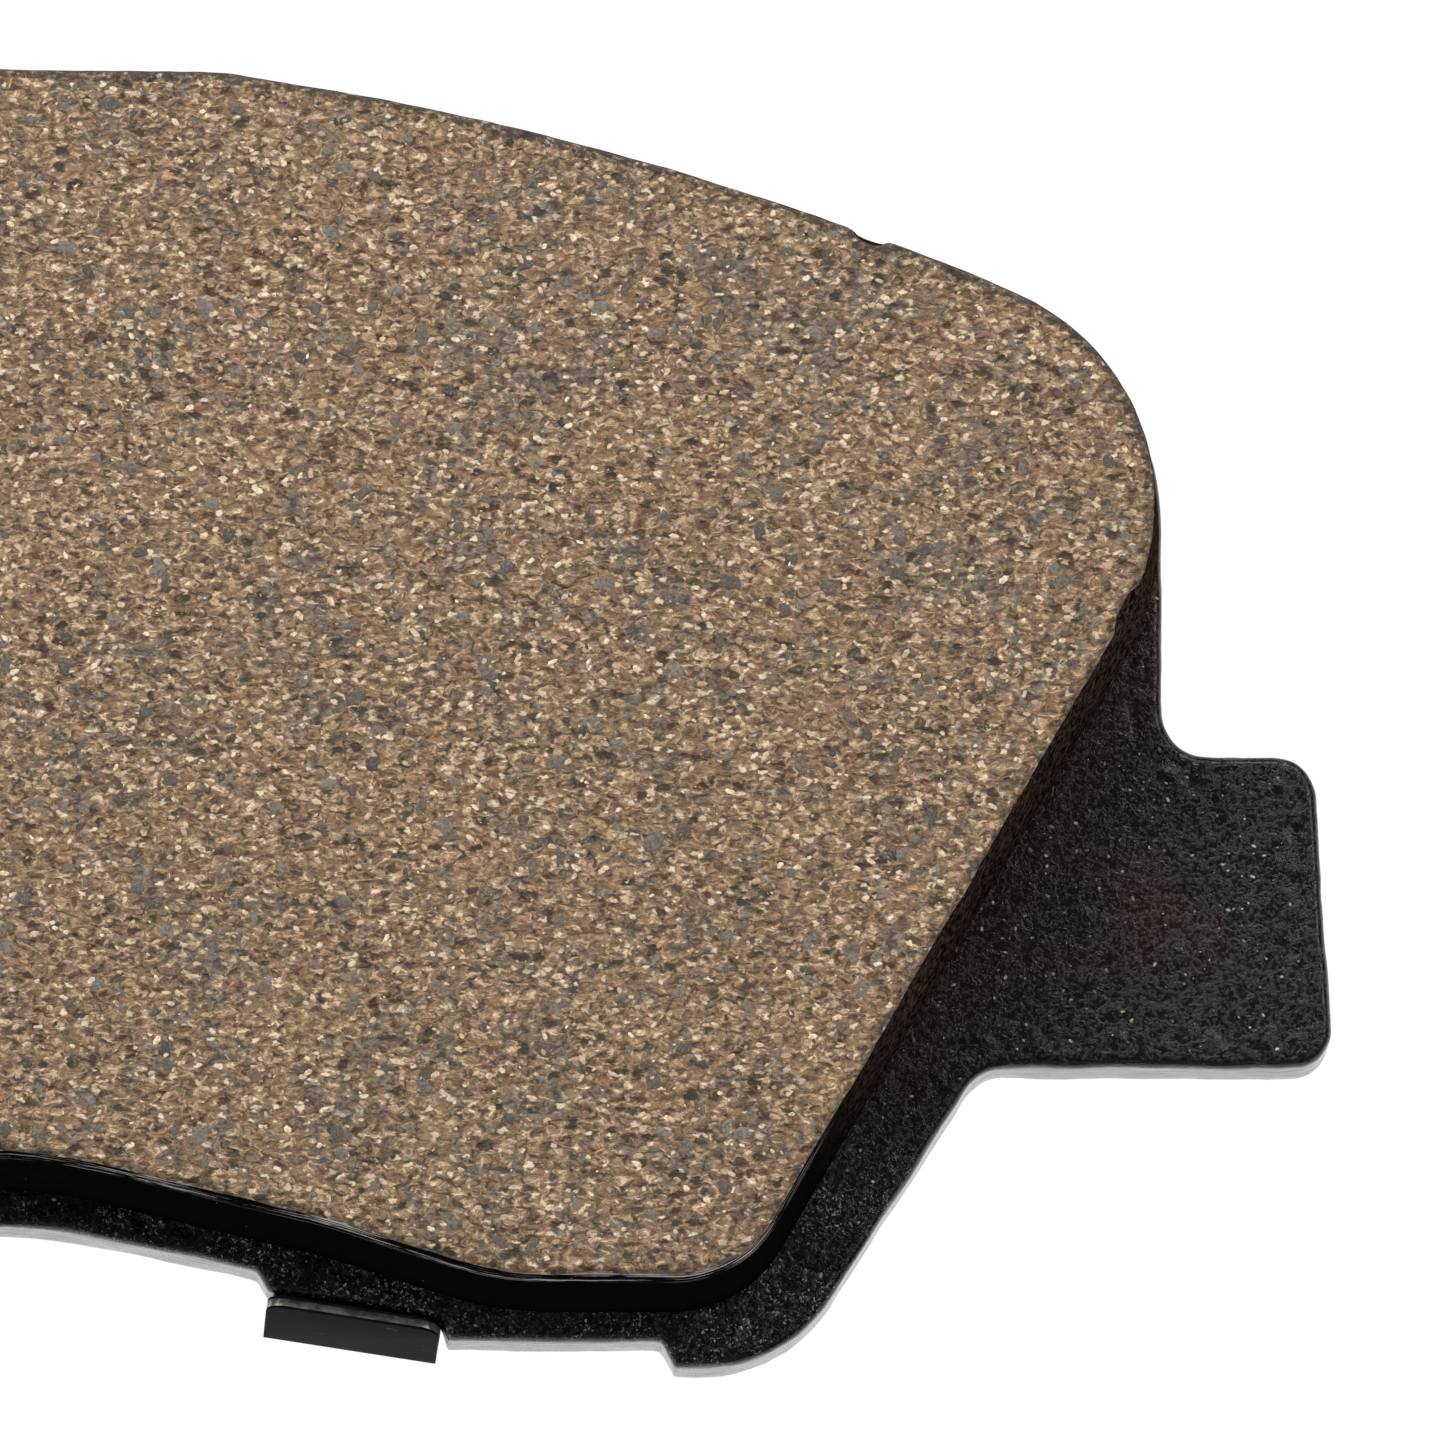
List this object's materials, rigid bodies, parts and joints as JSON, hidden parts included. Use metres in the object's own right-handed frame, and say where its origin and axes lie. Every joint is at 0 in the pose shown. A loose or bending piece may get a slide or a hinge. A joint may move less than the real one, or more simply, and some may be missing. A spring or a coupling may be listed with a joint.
{
  "type": "disc brake pad",
  "caption": "Disc brake pad: moulded friction block on an eared steel backing plate, with a clip-on rubber-coated shim.",
  "frame": {"origin": "middle of the rear shim face, on the pad's centre line, where the piston presses", "axes": "+X along the ears, +Y to the outer rim of the disc, +Z from the shim towards the disc"},
  "size_m": [0.1402, 0.0693, 0.0183],
  "materials": {
    "black_coat": "satin",
    "bond_resin": "gloss",
    "underlayer_mix": "matte",
    "friction_mix": "matte",
    "shim_rubber": "matte",
    "shim_sheet": "satin"
  },
  "bodies": {
    "pad": {"backing_plate": "black_coat", "bond_film": "bond_resin", "underlayer": "underlayer_mix", "friction_block": "friction_mix"},
    "shim": {"shim_outer_rubber": "shim_rubber", "shim_steel": "shim_sheet", "shim_inner_rubber": "shim_rubber"}
  },
  "joints": [
    {"name": "shim_clip", "type": "slide", "parent": "pad", "child": "shim", "axis": [0, 0, -1], "range_m": [0, 0.008]}
  ]
}
